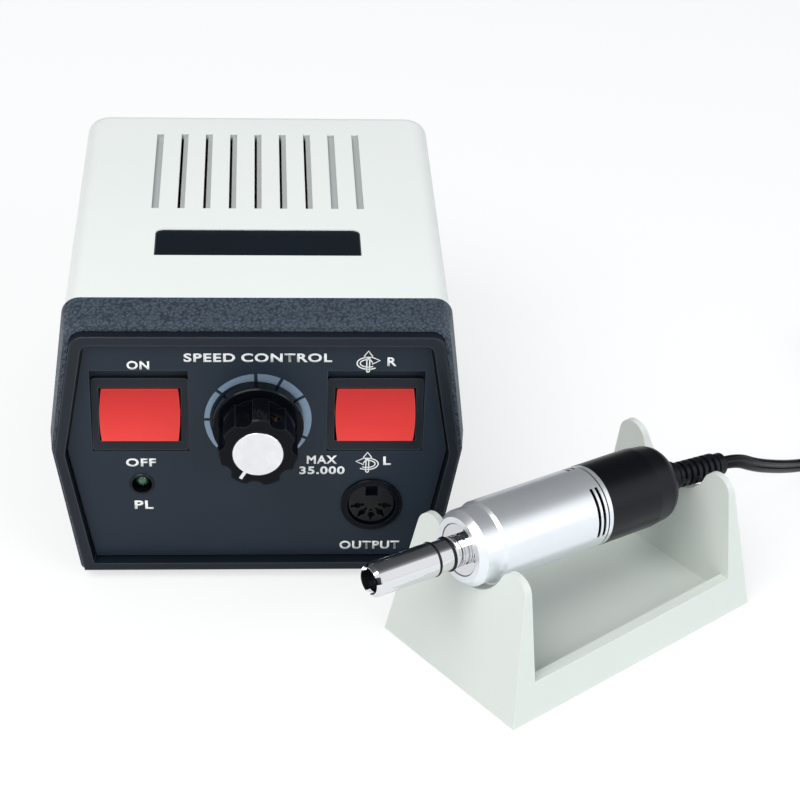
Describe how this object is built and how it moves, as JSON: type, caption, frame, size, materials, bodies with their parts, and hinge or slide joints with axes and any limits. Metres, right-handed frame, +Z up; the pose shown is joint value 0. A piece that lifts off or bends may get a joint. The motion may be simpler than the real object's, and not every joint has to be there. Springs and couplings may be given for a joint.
{
  "type": "dental laboratory micromotor",
  "caption": "Bench control unit with rocker switches and a speed dial, and a straight micromotor handpiece resting in a two-horned cradle, its cord coiled beside it.",
  "frame": {"origin": "on the bench, at the middle of the footprint of the control unit, cradle and handpiece, with the free cord left out", "axes": "+Z up, the control unit's panel looks along -Y, +X to the right as the panel is read"},
  "size_m": [0.3697, 0.2616, 0.0995],
  "materials": {
    "ivory_plastic": "satin",
    "charcoal_plastic": "satin",
    "grained_plastic": "leather grain",
    "frame_plastic": "satin",
    "panel_paint": "satin",
    "plate_paint": "satin",
    "black_plastic": "gloss",
    "matte_black": "matt",
    "red_plastic": "gloss",
    "silver_print": "satin",
    "bright_aluminium": "spun",
    "brass": "turned",
    "steel": "brushed",
    "chrome": "polished",
    "green_lens": "gloss",
    "copper_wire": "enamelled",
    "board_green": "lacquered",
    "capacitor_sleeve": "gloss",
    "rubber": "matt",
    "cradle_plastic": "satin",
    "satin_aluminium": "bead-blasted satin",
    "magnet": "ground",
    "carbon": "matt",
    "copper": "turned",
    "pvc_black": "satin"
  },
  "bodies": {
    "set": {"top_cover": "ivory_plastic", "lower_case": "charcoal_plastic", "front_bezel": "grained_plastic", "front_frame": "frame_plastic", "front_panel": "panel_paint", "nameplate": "plate_paint", "power_switch_body": "black_plastic", "direction_switch_body": "black_plastic", "dial_scale": "silver_print", "potentiometer_body": "steel", "potentiometer_nut": "brass", "lamp_bezel": "black_plastic", "pilot_lamp": "green_lens", "output_socket_shell": "black_plastic", "output_socket_insert": "black_plastic", "output_socket_contacts": "brass", "rear_panel": "panel_paint", "mains_gland": "matte_black", "fuse_holder": "black_plastic", "foot_control_socket": "black_plastic", "control_selector_body": "black_plastic", "transformer_core": "steel", "transformer_winding": "copper_wire", "transformer_clamp": "steel", "transformer_screws": "steel", "circuit_board": "board_green", "filter_capacitor": "capacitor_sleeve", "heat_sink": "bright_aluminium", "rubber_feet": "rubber", "case_screws": "steel", "handpiece_cradle": "cradle_plastic", "motor_cord": "pvc_black", "motor_cord_coil": "pvc_black", "cord_tie": "matte_black", "motor_plug_body": "rubber", "motor_plug_shell": "chrome", "motor_plug_pins": "brass"},
    "power_rocker": {"power_rocker": "red_plastic"},
    "direction_rocker": {"direction_rocker": "red_plastic"},
    "speed_control": {"speed_knob": "black_plastic", "knob_cap": "bright_aluminium", "knob_set_screw": "brass", "potentiometer_shaft": "steel"},
    "fuse_cap": {"fuse_cap": "black_plastic"},
    "selector_slider": {"control_selector_slider": "matte_black"},
    "handpiece": {"motor_nose": "chrome", "nose_o_rings": "rubber", "front_collar": "satin_aluminium", "motor_housing": "satin_aluminium", "rear_cap": "matte_black", "strain_relief": "rubber", "rotor_bearings": "steel", "field_magnets": "magnet", "carbon_brushes": "carbon", "brush_holders": "matte_black", "brush_springs": "brass"},
    "rotor": {"rotor_shaft": "steel", "drive_dog": "steel", "rotor_armature": "steel", "rotor_commutator": "copper"}
  },
  "joints": [
    {"name": "power_switch", "type": "hinge", "parent": "set", "child": "power_rocker", "pos_m": [-0.08423, -0.03063, 0.06135], "axis": [1, 0, 0], "range_deg": [0, 14]},
    {"name": "direction_switch", "type": "hinge", "parent": "set", "child": "direction_rocker", "pos_m": [-0.01003, -0.03063, 0.06135], "axis": [1, 0, 0], "range_deg": [0, 14]},
    {"name": "speed_control", "type": "hinge", "parent": "set", "child": "speed_control", "pos_m": [-0.04713, -0.03506, 0.0613], "axis": [0, 1, 0], "range_deg": [0, 300]},
    {"name": "fuse_cap", "type": "hinge", "parent": "set", "child": "fuse_cap", "pos_m": [-0.03443, 0.10644, 0.027], "axis": [0, 1, 0], "range_deg": [0, 90]},
    {"name": "control_selector", "type": "slide", "parent": "set", "child": "selector_slider", "axis": [1, 0, 0], "range_m": [0, 0.004]},
    {"name": "handpiece_lift", "type": "slide", "parent": "set", "child": "handpiece", "axis": [0, 0, 1], "range_m": [0, 0.06]},
    {"name": "rotor_spin", "type": "hinge", "parent": "handpiece", "child": "rotor", "pos_m": [0.03588, -0.07292, 0.04714], "axis": [0.8428, 0.5348, -0.061], "continuous": true}
  ]
}
